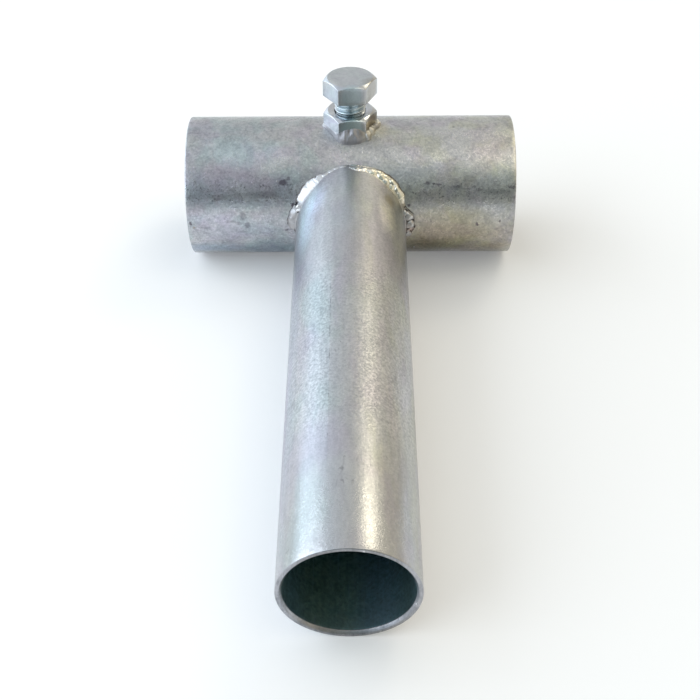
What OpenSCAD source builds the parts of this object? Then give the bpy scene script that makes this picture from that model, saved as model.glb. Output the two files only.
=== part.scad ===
// End fitting for a tube-framed tent: a cross sleeve that slides along a pole,
// a spigot tube coped and welded square to its front, and a hex clamp bolt in a
// nut welded on top. Millimetres. The origin is where the sleeve's axis and the
// spigot's axis cross: the sleeve lies along X, the spigot points along -Y and
// the clamp bolt stands up, leaning back a little round the sleeve.

/* [Sleeve] */
// Outside diameter of the sleeve tube
sleeve_od = 57.15; // [52:0.05:64]
// Wall thickness of the sleeve tube
sleeve_wall = 2.77; // [2:0.01:3.4]
// Length of the sleeve tube
sleeve_len = 133.35; // [110:0.05:160]

/* [Spigot] */
// Outside diameter of the spigot tube
spigot_od = 44.45; // [38:0.05:47]
// Wall thickness of the spigot tube
spigot_wall = 2.1; // [1.8:0.05:3]
// Distance from the sleeve's axis to the spigot's open end
spigot_reach = 209; // [150:1:260]

/* [Clamp bolt] */
// Angle of the bolt round the sleeve, back from straight up
clamp_lean = 3.5; // [0:0.5:8]
// Turn of both hexagons about the bolt's axis
hex_turn = 4.7; // [0:0.1:20]
// Width across the flats of the bolt's head and the nut
hex_af = 19.05; // [17.5:0.05:20]
// Outside diameter of the bolt's thread
bolt_d = 12.7; // [11:0.1:13]
// Length of the bolt under its head
bolt_len = 15.5; // [14:0.1:15.5]
// Height of the bolt's head
head_h = 7.7; // [6:0.1:9]
// Bare thread between the nut and the head
bolt_gap = 6.6; // [6.6:0.05:8]
// Height of the nut
nut_h = 6.9; // [6.5:0.1:8]
// Radial clearance of the bolt in the nut
thread_play = 0.05; // [0.02:0.01:0.1]

/* [Welds] */
// Mean leg of the fillet weld round the spigot
weld_leg = 3.9; // [3:0.1:5]
// Mean leg of the weld round the nut
nut_weld_leg = 2.5; // [1.8:0.1:3]

/* [Edges] */
// Broken edge on the cut ends of both tubes
edge = 0.4; // [0.2:0.05:0.6]
// Deburred inside edge of the spigot's mouth
mouth_edge = 0.8; // [0.3:0.05:0.9]

/* [Hidden] */
$fn = 96;
sleeve_r = sleeve_od / 2;
sleeve_ri = sleeve_r - sleeve_wall;
spigot_r = spigot_od / 2;
spigot_ri = spigot_r - spigot_wall;
bolt_r = bolt_d / 2;
// The nut stands a hair clear of the round sleeve and is held by its weld
nut_base = sleeve_r + 0.05;
nut_top = nut_base + nut_h;
head_base = nut_top + bolt_gap;
nut_bore_r = bolt_r + thread_play;
hole_r = bolt_r + 0.5;
hex_rc = hex_af / sqrt(3);
zinc = [0.66, 0.67, 0.68];
bright_zinc = [0.74, 0.77, 0.80];
bead_grey = [0.78, 0.78, 0.77];

function unit(v) = v / norm(v);

// The saddle where the outsides of the two tubes meet, by angle round the spigot
function saddle(t) = [
  spigot_r * cos(t),
  -sqrt(pow(sleeve_r, 2) - pow(spigot_r * sin(t), 2)),
  spigot_r * sin(t)
];

// One section of the fillet weld: its root is sunk in both tubes, its face is a
// slightly crowned line between its toes, and its leg swells with each ripple
weld_steps = 5;
function weld_section(t) =
  let (
    p = saddle(t),
    n1 = [0, p[1], p[2]] / sleeve_r,
    n2 = [cos(t), 0, sin(t)],
    along = unit(cross(n1, n2)),
    a = cross(n1, along),
    b = cross(n2, along),
    d1 = a * n2 > 0 ? a : -a,
    d2 = b * n1 > 0 ? b : -b,
    out = unit(n1 + n2),
    leg = weld_leg * (1 + 0.09 * sin(11 * t + 25) + 0.07 * sin(7 * t - 40)),
    crown = 0.16 * leg
  )
  concat(
    [p - 1.0 * n1 - 1.0 * n2],
    [p + leg * d1 - 0.9 * n1],
    [for (i = [0:weld_steps]) let (s = i / weld_steps)
      p + (1 - s) * (leg * d1 - 0.2 * n1) + s * (leg * d2 - 0.2 * n2) + crown * 4 * s * (1 - s) * out],
    [p + leg * d2 - 0.9 * n2]
  );

// One section of the weld round the nut, by angle round the bolt's axis
nut_weld_steps = 4;
function hex_edge(a) =
  let (b = a - hex_turn, k = b - 60 * floor(b / 60)) (hex_af / 2) / cos(k - 30);
function sleeve_top(r, a) = sqrt(pow(sleeve_r, 2) - pow(r * sin(a), 2));
function nut_weld_section(a) =
  let (
    leg = nut_weld_leg * (0.92 + 0.30 * cos(a + 55) + 0.10 * sin(7 * a) + 0.07 * sin(11 * a + 30)),
    r0 = hex_edge(a),
    r1 = r0 + leg,
    e = [cos(a), sin(a), 0],
    low = [0, 0, sleeve_top(r1, a) - 0.2],
    top = [0, 0, nut_base + 0.85 * leg]
  )
  concat(
    [(r0 - 1.2) * e + [0, 0, sleeve_top(r0, a) - 1.2]],
    [r1 * e + low - [0, 0, 0.9]],
    [for (i = [0:nut_weld_steps]) let (s = i / nut_weld_steps)
      (r1 * (1 - s) + (r0 - 0.5) * s + 0.15 * leg * 4 * s * (1 - s)) * e
        + low * (1 - s) + top * s + [0, 0, 0.15 * leg * 4 * s * (1 - s)]]
  );

// A closed ring through equal sections
module ring(sections) {
  m = len(sections);
  n = len(sections[0]);
  polyhedron(
    points = [for (s = sections) each s],
    faces = [for (i = [0:m - 1], j = [0:n - 1])
      [i * n + j, i * n + (j + 1) % n, ((i + 1) % m) * n + (j + 1) % n, ((i + 1) % m) * n + j]],
    convexity = 6
  );
}

// The outside of the sleeve as a plain round bar
module sleeve_bar(r) {
  rotate([0, 90, 0]) cylinder(r = r, h = sleeve_len + 40, center = true);
}

// Everything on the bolt's axis is drawn upright, then leaned back
module leaned() {
  rotate([-clamp_lean, 0, 0]) children();
}

// Hexagonal bar along Z between two heights
module hex_bar(z0, z1) {
  rotate([0, 0, hex_turn]) translate([0, 0, z0]) cylinder(r = hex_rc, h = z1 - z0, $fn = 6);
}

// A turned blank that chamfers a hexagon's corners at 30 degrees
module hex_blank(z0, z1, below, above) {
  rc = hex_rc + 1;
  f = 0.95 * hex_af / 2;
  drop = (rc - f) * tan(30);
  rotate_extrude() polygon(concat(
    [[0, z0]],
    below ? [[f, z0], [rc, z0 + drop]] : [[rc, z0]],
    above ? [[rc, z1 - drop], [f, z1]] : [[rc, z1]],
    [[0, z1]]
  ));
}

module sleeve_tube() {
  color(zinc) difference() {
    rotate([0, 90, 0]) rotate_extrude() polygon([
      [sleeve_ri + edge, -sleeve_len / 2],
      [sleeve_r - edge, -sleeve_len / 2],
      [sleeve_r, -sleeve_len / 2 + edge],
      [sleeve_r, sleeve_len / 2 - edge],
      [sleeve_r - edge, sleeve_len / 2],
      [sleeve_ri + edge, sleeve_len / 2],
      [sleeve_ri, sleeve_len / 2 - edge],
      [sleeve_ri, -sleeve_len / 2 + edge]
    ]);
    leaned() translate([0, 0, sleeve_r / 2]) cylinder(r = hole_r, h = sleeve_r);
  }
}

module spigot_tube() {
  color(zinc) difference() {
    rotate([90, 0, 0]) rotate_extrude() polygon([
      [spigot_ri, 0],
      [spigot_r, 0],
      [spigot_r, spigot_reach - edge],
      [spigot_r - edge, spigot_reach],
      [spigot_ri + mouth_edge, spigot_reach],
      [spigot_ri, spigot_reach - mouth_edge]
    ]);
    sleeve_bar(sleeve_r);
  }
}

module spigot_weld() {
  color(bead_grey) difference() {
    ring([for (i = [0:71]) weld_section(i * 5)]);
    sleeve_bar(sleeve_r);
    rotate([90, 0, 0]) cylinder(r = spigot_r, h = spigot_reach);
  }
}

module clamp_nut() {
  color(bright_zinc) leaned() difference() {
    intersection() {
      hex_bar(nut_base, nut_top);
      hex_blank(nut_base, nut_top, true, true);
    }
    translate([0, 0, nut_base - 1]) cylinder(r = nut_bore_r, h = nut_h + 2);
    translate([0, 0, nut_top - 0.3]) cylinder(r1 = nut_bore_r, r2 = nut_bore_r + 0.6, h = 0.6);
  }
}

module nut_weld() {
  color(bead_grey) difference() {
    leaned() ring([for (i = [0:71]) nut_weld_section(i * 5)]);
    leaned() hex_bar(sleeve_r / 2, nut_top + 5);
    sleeve_bar(sleeve_r);
  }
}

module clamp_bolt() {
  tip = head_base - bolt_len;
  color(bright_zinc) leaned() union() {
    intersection() {
      hex_bar(head_base, head_base + head_h);
      hex_blank(head_base, head_base + head_h, false, true);
    }
    rotate_extrude() polygon([
      [0, tip],
      [bolt_r - 1, tip],
      [bolt_r, tip + 1],
      [bolt_r, head_base + 1],
      [0, head_base + 1]
    ]);
  }
}

sleeve_tube();
spigot_tube();
spigot_weld();
clamp_nut();
nut_weld();
clamp_bolt();
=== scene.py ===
import math

import bpy
import numpy as np
from mathutils import Matrix, Vector, noise


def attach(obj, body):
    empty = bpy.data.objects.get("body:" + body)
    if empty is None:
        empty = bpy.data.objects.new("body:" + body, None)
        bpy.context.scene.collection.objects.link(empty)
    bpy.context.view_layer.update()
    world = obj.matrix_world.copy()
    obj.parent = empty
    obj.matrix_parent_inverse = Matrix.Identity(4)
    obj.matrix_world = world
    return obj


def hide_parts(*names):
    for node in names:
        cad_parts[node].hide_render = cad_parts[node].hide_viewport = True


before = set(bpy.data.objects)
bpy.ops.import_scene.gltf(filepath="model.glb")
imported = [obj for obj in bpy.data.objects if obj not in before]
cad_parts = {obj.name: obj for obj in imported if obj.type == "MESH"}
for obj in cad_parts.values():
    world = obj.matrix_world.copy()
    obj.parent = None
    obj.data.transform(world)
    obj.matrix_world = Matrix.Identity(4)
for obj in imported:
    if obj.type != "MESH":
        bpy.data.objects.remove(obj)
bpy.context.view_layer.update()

# ---------------------------------------------------------------- sizes, mm
MM = 0.001
SLEEVE_R, SLEEVE_RI, SLEEVE_L = 28.575, 25.805, 133.35
SPIGOT_R, SPIGOT_RI, REACH = 22.225, 20.125, 209.0
LEAN, TURN, AF = math.radians(3.5), math.radians(4.7), 19.05
NUT_BASE, NUT_TOP = 28.625, 35.525
HEAD_BASE, HEAD_TOP = 42.125, 49.825
TIP = 26.625
NUT_BORE, HOLE_R = 6.40, 6.85
PITCH = 1.954


# ------------------------------------------------------------- mesh helpers
def lean(p):
    """From the bolt's own upright frame to the row frame."""
    p = np.asarray(p, float)
    c, s = math.cos(LEAN), math.sin(LEAN)
    return np.stack([p[..., 0], c * p[..., 1] + s * p[..., 2], -s * p[..., 1] + c * p[..., 2]], -1)


def ring_faces(rows, cols, wrap_rows, base=0):
    """Quads of a grid that is closed along its columns, and along its rows if wanted."""
    r = np.arange(rows if wrap_rows else rows - 1)
    c = np.arange(cols)
    rr, cc = np.meshgrid(r, c, indexing="ij")
    r2, c2 = (rr + 1) % rows, (cc + 1) % cols
    quads = np.stack([rr * cols + cc, rr * cols + c2, r2 * cols + c2, r2 * cols + cc], -1)
    return (quads.reshape(-1, 4) + base).tolist()


def volume(verts, faces):
    total = 0.0
    for f in faces:
        a = verts[f[0]]
        for i in range(1, len(f) - 1):
            total += float(np.dot(a, np.cross(verts[f[i]], verts[f[i + 1]])))
    return total / 6


def build(name, verts, faces, face_slots=None, sharp=40.0):
    """A closed mesh from points in millimetres, with its normals outward."""
    verts = np.asarray(verts, float)
    if volume(verts, faces) < 0:
        faces = [list(reversed(f)) for f in faces]
    mesh = bpy.data.meshes.new(name)
    mesh.from_pydata((verts * MM).tolist(), [], faces)
    mesh.update()
    if face_slots is not None:
        mesh.polygons.foreach_set("material_index", np.asarray(face_slots, np.int32))
    mesh.polygons.foreach_set("use_smooth", np.ones(len(mesh.polygons), bool))
    mesh.set_sharp_from_angle(angle=math.radians(sharp))
    obj = bpy.data.objects.new(name, mesh)
    bpy.context.scene.collection.objects.link(obj)
    return obj


def point_value(obj, name, values):
    layer = obj.data.attributes.new(name, "FLOAT", "POINT")
    layer.data.foreach_set("value", np.asarray(values, np.float32))


def arc(cx, cy, r, a0, a1, steps):
    """Points on an arc, angles in degrees."""
    return [
        (cx + r * math.cos(math.radians(a0 + (a1 - a0) * i / steps)),
         cy + r * math.sin(math.radians(a0 + (a1 - a0) * i / steps)))
        for i in range(steps + 1)
    ]


def smooth(x, lo, hi):
    t = np.clip((np.asarray(x, float) - lo) / (hi - lo), 0, 1)
    return t * t * (3 - 2 * t)


def ring_curve(knots, angle):
    """Smooth periodic curve through (degrees, value) knots."""
    a = np.array([k[0] for k in knots], float)
    v = np.array([k[1] for k in knots], float)
    x = np.mod(np.asarray(angle, float), 360)
    a = np.concatenate([a - 360, a, a + 360])
    v = np.concatenate([v, v, v])
    i = np.clip(np.searchsorted(a, x, side="right") - 1, 1, len(a) - 3)
    h = a[i + 1] - a[i]
    u = (x - a[i]) / h
    m0 = (v[i + 1] - v[i - 1]) / (a[i + 1] - a[i - 1]) * h
    m1 = (v[i + 2] - v[i]) / (a[i + 2] - a[i]) * h
    return (
        (2 * u**3 - 3 * u**2 + 1) * v[i] + (u**3 - 2 * u**2 + u) * m0
        + (-2 * u**3 + 3 * u**2) * v[i + 1] + (u**3 - u**2) * m1
    )


def fractal(points, scale, octaves=3):
    """Smooth noise at each point, about -1 to 1. Points in millimetres."""
    out = np.zeros(len(points))
    for k, p in enumerate(np.asarray(points, float)):
        q, amp, total = Vector(p) * scale, 1.0, 0.0
        for _ in range(octaves):
            total += amp * noise.noise(q)
            q, amp = q * 2.03 + Vector((7.1, 3.3, 5.7)), amp * 0.5
        out[k] = total
    return out


# --------------------------------------------------------------- sleeve tube
def make_sleeve():
    half, out_r, in_r = SLEEVE_L / 2, 0.5, 0.4
    right = (
        arc(half - out_r, SLEEVE_R - out_r, out_r, 90, 0, 5)
        + arc(half - in_r, SLEEVE_RI + in_r, in_r, 0, -90, 4)
    )
    left = [(-x, r) for x, r in reversed(right)]
    outer = [(x, SLEEVE_R) for x in np.linspace(-half + out_r, half - out_r, 68)[1:-1]]
    inner = [(x, SLEEVE_RI) for x in np.linspace(half - in_r, -half + in_r, 36)[1:-1]]
    profile = outer + right + inner + left
    slots = [0] * (len(outer) + 6) + [0] * 4 + [1] * (len(inner) + 1) + [0] * 10
    cols = 256
    a = np.linspace(0, 2 * math.pi, cols, endpoint=False) + 0.003
    verts = np.array([[[x, r * math.cos(t), r * math.sin(t)] for t in a] for x, r in profile])
    rows = len(profile)
    slots = (slots + [0] * rows)[:rows]
    obj = build(
        "sleeve_tube_look", verts.reshape(-1, 3), ring_faces(rows, cols, True),
        np.repeat(slots, cols), 40,
    )
    # the drilled hole under the nut
    n, z0, z1 = 96, 15.0, 42.0
    t = np.linspace(0, 2 * math.pi, n, endpoint=False)
    rim = [np.stack([HOLE_R * np.cos(t), HOLE_R * np.sin(t), np.full(n, z)], -1) for z in (z0, z1)]
    faces = ring_faces(2, n, False) + [list(range(n))[::-1], list(range(n, 2 * n))]
    drill = build("drill", lean(np.concatenate(rim)), faces)
    cut = obj.modifiers.new("hole", "BOOLEAN")
    cut.operation, cut.solver, cut.object = "DIFFERENCE", "EXACT", drill
    graph = bpy.context.evaluated_depsgraph_get()
    drilled = bpy.data.meshes.new_from_object(obj.evaluated_get(graph))
    obj.modifiers.clear()
    obj.data = drilled
    bpy.data.objects.remove(drill, do_unlink=True)
    drilled.set_sharp_from_angle(angle=math.radians(40))
    return obj


# --------------------------------------------------------------- spigot tube
def make_spigot():
    cols = 288
    a = np.linspace(0, 2 * math.pi, cols, endpoint=False) + 0.002
    s = np.sin(a)
    out_end = -np.sqrt(SLEEVE_R**2 - (SPIGOT_R * s) ** 2)
    in_end = -np.sqrt(SLEEVE_R**2 - (SPIGOT_RI * s) ** 2)
    lip_o, lip_i = 0.45, 0.85
    rows, slots = [], []

    def row(r, y, slot):
        r = np.broadcast_to(np.asarray(r, float), a.shape)
        y = np.broadcast_to(np.asarray(y, float), a.shape)
        rows.append(np.stack([r * np.cos(a), y, r * np.sin(a)], -1))
        slots.append(slot)

    for u in np.linspace(0, 1, 96):
        row(SPIGOT_R, out_end + u * (-REACH + lip_o - out_end), 0)
    for r, y in arc(SPIGOT_R - lip_o, -REACH + lip_o, lip_o, 0, -90, 5)[1:]:
        row(r, y, 0 if y > -REACH + 0.2 else 2)
    # deburred inside edge: a short bevel with softened corners
    bevel = [
        (SPIGOT_RI + lip_i + 0.10, -REACH), (SPIGOT_RI + lip_i - 0.02, -REACH + 0.035),
        (SPIGOT_RI + lip_i - 0.12, -REACH + 0.13), (SPIGOT_RI + 0.42, -REACH + 0.46),
        (SPIGOT_RI + 0.12, -REACH + 0.80), (SPIGOT_RI + 0.03, -REACH + 0.95),
    ]
    for r, y in bevel:
        row(r, y, 2)
    for u in np.linspace(0, 1, 60) ** 1.3:
        row(SPIGOT_RI, (-REACH + 1.15) + u * (in_end - (-REACH + 1.15)), 1)
    slots[-1] = 0
    n = len(rows)
    return build(
        "spigot_tube_look", np.concatenate(rows), ring_faces(n, cols, True),
        np.repeat(slots, cols), 40,
    )


# -------------------------------------------------------------- spigot weld
def saddle_frame(t):
    """Root point and directions of the fillet weld at angles t round the spigot."""
    c, s, z0 = np.cos(t), np.sin(t), np.zeros_like(t)
    p = np.stack([SPIGOT_R * c, -np.sqrt(SLEEVE_R**2 - (SPIGOT_R * s) ** 2), SPIGOT_R * s], -1)
    n1 = np.stack([z0, p[:, 1], p[:, 2]], -1) / SLEEVE_R
    n2 = np.stack([c, z0, s], -1)
    along = np.cross(n1, n2)
    along /= np.linalg.norm(along, axis=1)[:, None]
    d1, d2 = np.cross(n1, along), np.cross(n2, along)
    d1 *= np.sign((d1 * n2).sum(1))[:, None]
    d2 *= np.sign((d2 * n1).sum(1))[:, None]
    out = n1 + n2
    out /= np.linalg.norm(out, axis=1)[:, None]
    return p, n1, n2, d1, d2, out


def to_sleeve(q, r):
    k = r / np.hypot(q[..., 1], q[..., 2])
    return np.stack([q[..., 0], q[..., 1] * k, q[..., 2] * k], -1)


def to_spigot(q, r):
    k = r / np.hypot(q[..., 0], q[..., 2])
    return np.stack([q[..., 0] * k, q[..., 1], q[..., 2] * k], -1)


def blob(centre, radius, squash, n_u=14, n_v=20):
    """A small flattened round bead, closed, as points and faces from 0."""
    c = np.asarray(centre[0], float)
    normal = np.asarray(centre[1], float)
    normal = normal / np.linalg.norm(normal)
    side = np.cross(normal, [0.31, 0.2, 0.93])
    side /= np.linalg.norm(side)
    other = np.cross(normal, side)
    pts = [c + normal * radius * squash]
    for i in range(1, n_u):
        e = math.pi * i / n_u
        for j in range(n_v):
            w = 2 * math.pi * j / n_v
            k = radius * (1 + 0.10 * math.sin(2 * w + radius * 9) * math.sin(e))
            pts.append(c + normal * k * squash * math.cos(e)
                       + (side * math.cos(w) + other * math.sin(w)) * k * math.sin(e))
    pts.append(c - normal * radius * squash)
    last = len(pts) - 1
    faces = [[0, 1 + j, 1 + (j + 1) % n_v] for j in range(n_v)]
    for i in range(n_u - 2):
        for j in range(n_v):
            p, q = 1 + i * n_v + j, 1 + i * n_v + (j + 1) % n_v
            faces.append([p, p + n_v, q + n_v, q])
    foot = 1 + (n_u - 2) * n_v
    faces += [[last, foot + (j + 1) % n_v, foot + j] for j in range(n_v)]
    return np.array(pts), faces


def dome(gap, across, half, high):
    """A round-topped drop with a crisp edge, 1 at its middle."""
    d = (gap / half) ** 2 + (across / high) ** 2
    return np.clip(1 - d, 0, 1) ** 0.62


def make_spigot_weld():
    cols, steps = 1080, 30
    t = np.linspace(0, 2 * math.pi, cols, endpoint=False)
    deg = np.degrees(t)
    p, n1, n2, d1, d2, out = saddle_frame(t)
    run = np.concatenate([[0], np.cumsum(np.linalg.norm(np.diff(p, axis=0), axis=1))])
    total = run[-1] + np.linalg.norm(p[0] - p[-1])

    def beside(at):
        """Distance along the bead from the place at this angle."""
        return (run - float(np.interp(at % 360, deg, run)) + total / 2) % total - total / 2

    # how far the bead runs out on the sleeve and along the spigot
    leg1 = ring_curve([(0, 4.1), (6, 3.9), (13, 3.7), (19, 2.3), (24, 1.9), (31, 3.2), (38, 3.4), (45, 3.5),
                       (54, 3.0), (62, 2.3), (68, 1.8), (75, 1.0), (84, 0.55), (95, 0.45), (110, 0.5), (118, 0.7),
                       (122, 1.6), (127, 2.6), (135, 3.4), (144, 3.1), (151, 2.8), (156, 2.5), (161, 3.1),
                       (167, 3.7), (176, 3.8), (181, 3.2), (185, 1.6), (191, 1.0), (205, 1.4), (222, 2.6),
                       (250, 3.2), (275, 3.0), (300, 3.2), (322, 2.4), (337, 1.4), (344, 1.7), (350, 3.1),
                       (355, 3.9)], deg)
    leg2 = ring_curve([(0, 2.6), (8, 2.4), (14, 2.1), (22, 1.0), (30, 1.0), (36, 1.2), (42, 1.7), (50, 2.3),
                       (60, 2.5), (68, 2.6), (74, 3.5), (80, 4.2), (86, 4.2), (90, 3.2), (94, 2.0), (100, 1.9),
                       (108, 2.1), (116, 2.4),
                       (122, 2.9), (130, 4.4), (142, 4.7), (150, 4.1), (157, 3.2), (164, 2.6), (173, 2.4),
                       (181, 2.2), (188, 1.2), (205, 1.5), (222, 2.4), (250, 3.0), (275, 2.8), (300, 3.0),
                       (322, 2.2), (338, 1.4), (350, 2.2)], deg)
    wob = np.stack([np.cos(t) * 20, np.sin(t) * 20, np.zeros_like(t)], -1)
    leg1 = leg1 * (1 + 0.11 * fractal(wob + [3, 9, 40], 0.50, 3))
    leg1 = leg1 * ring_curve([(0, 1.0), (24, 1.0), (32, 1.12), (60, 1.12), (70, 1.0), (124, 1.0), (132, 1.12), (148, 1.12),
                              (155, 1.0), (270, 1.0)], deg)
    leg2 = leg2 * (1 + 0.11 * fractal(wob + [13, 2, 90], 0.45, 3))
    toe1 = to_sleeve(p + leg1[:, None] * d1, SLEEVE_R - 0.16)
    toe2 = to_spigot(p + leg2[:, None] * d2, SPIGOT_R - 0.10)
    s = np.linspace(0, 1, steps + 1)[:, None]
    win = np.sin(math.pi * s) ** 0.72
    small = np.minimum(leg1, leg2)
    keep = smooth(np.maximum(small, 0.6 * leg2), 0.5, 2.2)
    # crowned at the sides, hollow and washed out flat on the upper left
    crown = small * ring_curve([(0, 0.20), (14, 0.18), (30, 0.10), (60, 0.05), (85, 0.02), (105, 0.0), (120, -0.10),
                                (130, -0.20), (145, -0.20), (153, -0.08), (162, 0.14), (176, 0.18), (200, 0.10),
                                (270, 0.12), (340, 0.14)], deg)
    # solidified drops: angle, place across, half length, half width, height
    placed = [
        (87, 0.62, 1.8, 0.26, 0.30), (81.5, 0.60, 2.4, 0.32, 0.46), (74.5, 0.56, 1.8, 0.32, 0.50),
        (66.5, 0.56, 2.2, 0.34, 0.80), (61.5, 0.36, 1.5, 0.20, 0.66), (56.5, 0.58, 1.8, 0.30, 0.85),
        (54, 0.36, 1.5, 0.19, 0.66), (50.5, 0.70, 1.5, 0.24, 0.60), (45, 0.40, 1.9, 0.24, 1.0),
        (43, 0.70, 1.2, 0.20, 0.42), (37, 0.46, 1.8, 0.26, 1.0), (31.5, 0.55, 1.3, 0.27, 0.66),
        (31.8, 0.32, 1.0, 0.15, 0.50), (26.4, 0.42, 1.1, 0.28, 0.44),
        (11.0, 0.44, 1.9, 0.44, 1.05), (15.6, 0.70, 1.0, 0.22, 0.40), (2.6, 0.46, 1.5, 0.44, 0.95),
        (-3.4, 0.50, 1.0, 0.38, 0.50), (-9.2, 0.48, 1.6, 0.42, 0.75),
        (97.5, 0.50, 1.3, 0.30, 0.50), (104, 0.42, 1.1, 0.30, 0.55), (110.5, 0.50, 1.3, 0.30, 0.50),
        (117, 0.40, 1.5, 0.34, 0.55), (123.5, 0.30, 2.0, 0.34, 0.22), (156.4, 0.50, 0.9, 0.22, 0.60), (160.5, 0.76, 1.0, 0.18, 0.26),
        (166, 0.42, 2.4, 0.42, 0.42), (172.5, 0.42, 2.9, 0.44, 0.55), (179, 0.46, 2.1, 0.40, 0.44),
        (187.5, 0.5, 1.2, 0.34, 0.30),
    ]
    draw = np.random.RandomState(41)
    at = float(np.interp(192, deg, run))
    while at < float(np.interp(346, deg, run)):
        here = float(np.interp(at, run, deg))
        placed.append((here, draw.uniform(0.38, 0.58), draw.uniform(1.2, 1.9), draw.uniform(0.34, 0.46),
                       draw.uniform(0.32, 0.58)))
        at += draw.uniform(1.7, 2.5)
    drops = np.zeros((steps + 1, cols))
    for at, place, half, wide, high in placed:
        drops = np.maximum(drops, high * dome(beside(at)[None] + 0.7 * (2 * s - 1) ** 2 - 0.25, s - place, half, wide))
    flat = (p[None] + (s[..., None] - 0.5) * 6 * d2[None]).reshape(-1, 3)
    lumps = fractal(flat, 0.36, 2).reshape(steps + 1, cols)
    grit = fractal(flat + [7, 1, 3], 1.5, 2).reshape(steps + 1, cols)
    lump_k = ring_curve([(0, 0.40), (40, 0.24), (75, 0.16), (106, 0.06), (122, 0.16), (134, 0.13), (146, 0.16), (156, 0.22),
                         (176, 0.20), (270, 0.34)], deg)
    grit_k = ring_curve([(0, 0.07), (40, 0.05), (75, 0.03), (110, 0.01), (128, 0.03), (146, 0.03), (160, 0.05), (270, 0.06)], deg)
    lift = crown * 4 * s * (1 - s) + win * keep * (drops - 0.12 + lump_k * lumps + grit_k * grit)
    # painted shade: dark lines between the drops and along the inner toe, and a dark outline along the outer toe,
    # partly heat tint and partly painted shadow of the bead's edge
    line_k = ring_curve([(0, 0.9), (14, 0.85), (30, 0.40), (62, 0.34), (76, 0.20), (90, 0.1), (110, 0.0), (148, 0.0), (156, 0.5),
                         (168, 0.12), (178, 0.15), (184, 0.85), (270, 0.6), (340, 0.7)], deg)
    seam = line_k * (1 - smooth(drops, 0.02, 0.20)) * smooth(win, 0.2, 0.6)
    edge_k = ring_curve([(0, 1.0), (22, 1.0), (32, 0.95), (58, 0.95), (70, 0.5), (85, 0.2), (105, 0.0), (118, 0.3), (124, 0.7),
                         (132, 0.95), (148, 0.95), (156, 1.0), (184, 1.0), (200, 0.6), (270, 0.8)], deg)
    reach = ring_curve([(0, 0.17), (24, 0.20), (32, 0.27), (60, 0.26), (70, 0.17), (118, 0.15), (128, 0.22), (150, 0.22),
                        (158, 0.17), (270, 0.17)], deg)
    outline = edge_k * (1 - smooth((s + 0.05 * grit) / reach, 0.55, 1.0)) * (1 - 0.8 * smooth(drops, 0.25, 0.5))
    inner_k = ring_curve([(0, 0.3), (30, 0.45), (60, 0.36), (70, 0.2), (88, 0.10), (96, 0.30), (114, 0.30), (122, 0.0), (160, 0.0), (270, 0.2)], deg)
    seam = np.maximum(seam, inner_k * smooth(s, 0.80, 0.95))
    # crater ends, where the arc was stopped and started again; their dark colour is painted shade
    pit = np.zeros((steps + 1, cols))
    for at, place, wide, high, deep in [
        (157.0, 0.24, 2.0, 0.20, 0.8), (152.6, 0.30, 0.8, 0.08, 0.25), (160.6, 0.90, 1.0, 0.10, 0.3), (126.6, 0.10, 1.0, 0.16, 0.4),
        (129.4, 0.06, 0.8, 0.10, 0.3), (183.6, 0.20, 1.1, 0.26, 0.5),
        (184.4, 0.52, 0.8, 0.20, 0.3), (20.4, 0.14, 1.7, 0.17, 0.6), (17.8, 0.42, 1.0, 0.13, 0.5),
        (22.4, 0.46, 0.9, 0.14, 0.4), (92.0, 0.24, 2.2, 0.16, 0.30), (-6.2, 0.40, 0.8, 0.26, 0.35),
        (7.0, 0.30, 0.7, 0.24, 0.30), (236, 0.2, 1.6, 0.2, 0.5), (306, 0.2, 1.7, 0.2, 0.5),
    ]:
        gap = (deg - at + 180) % 360 - 180
        bend = gap[None] + 1.2 * np.sin(9 * s + at) + 0.9 * lumps
        g = np.exp(-((bend / wide) ** 2) - ((s - place) / high) ** 2)
        lift = lift - deep * g * win * keep
        pit = np.maximum(pit, g)
    face = (1 - s[..., None]) * toe1[None] + s[..., None] * toe2[None] + lift[..., None] * out[None]
    rows = [p - 0.8 * n1 - 0.8 * n2, to_sleeve(toe1, SLEEVE_R - 0.75)]
    rows += list(face)
    rows += [to_spigot(toe2, SPIGOT_R - 0.75)]
    verts = np.concatenate(rows)
    faces = ring_faces(len(rows), cols, True)
    # straw on the right shoulder: partly heat tint, partly a painted tint of the warm lamp on that side
    straw = ring_curve([(0, 0.2), (16, 0.3), (27, 0.9), (50, 1.0), (66, 0.85), (73, 0.40), (82, 0.15), (95, 0.05), (120, 0.0),
                        (270, 0.1)], deg)
    dull = ring_curve([(0, 0.75), (5, 0.65), (14, 0.6), (24, 0.25), (34, 0.0), (60, 0.0), (90, 0.0), (97, 0.42), (114, 0.40),
                       (121, 0.45), (128, 0.40), (150, 0.42), (157, 0.4), (163, 0.8), (181, 0.8), (190, 0.9),
                       (270, 0.6), (345, 0.9)], deg)
    fade = ring_curve([(0, 0.0), (112, 0.0), (122, 0.4), (150, 0.4), (158, 0.0), (270, 0.0)], deg) * smooth(s, 0.55, 1.0)
    scale = ring_curve([(0, 0.55), (10, 0.2), (24, 0.15), (60, 0.1), (120, 0.0), (180, 0.15), (270, 0.25),
                        (335, 0.4), (347, 0.5), (356, 0.95)], deg)
    layers = {"crater": pit, "trough": seam, "outline": np.clip(outline, 0, 1)}
    for key, ring in (("straw", straw), ("dull", dull + fade), ("scale", scale)):
        layers[key] = np.broadcast_to(np.clip(ring, 0, 1), pit.shape)
    layers = {k: np.concatenate([np.zeros(2 * cols), v.ravel(), np.zeros(cols)]) for k, v in layers.items()}
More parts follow.
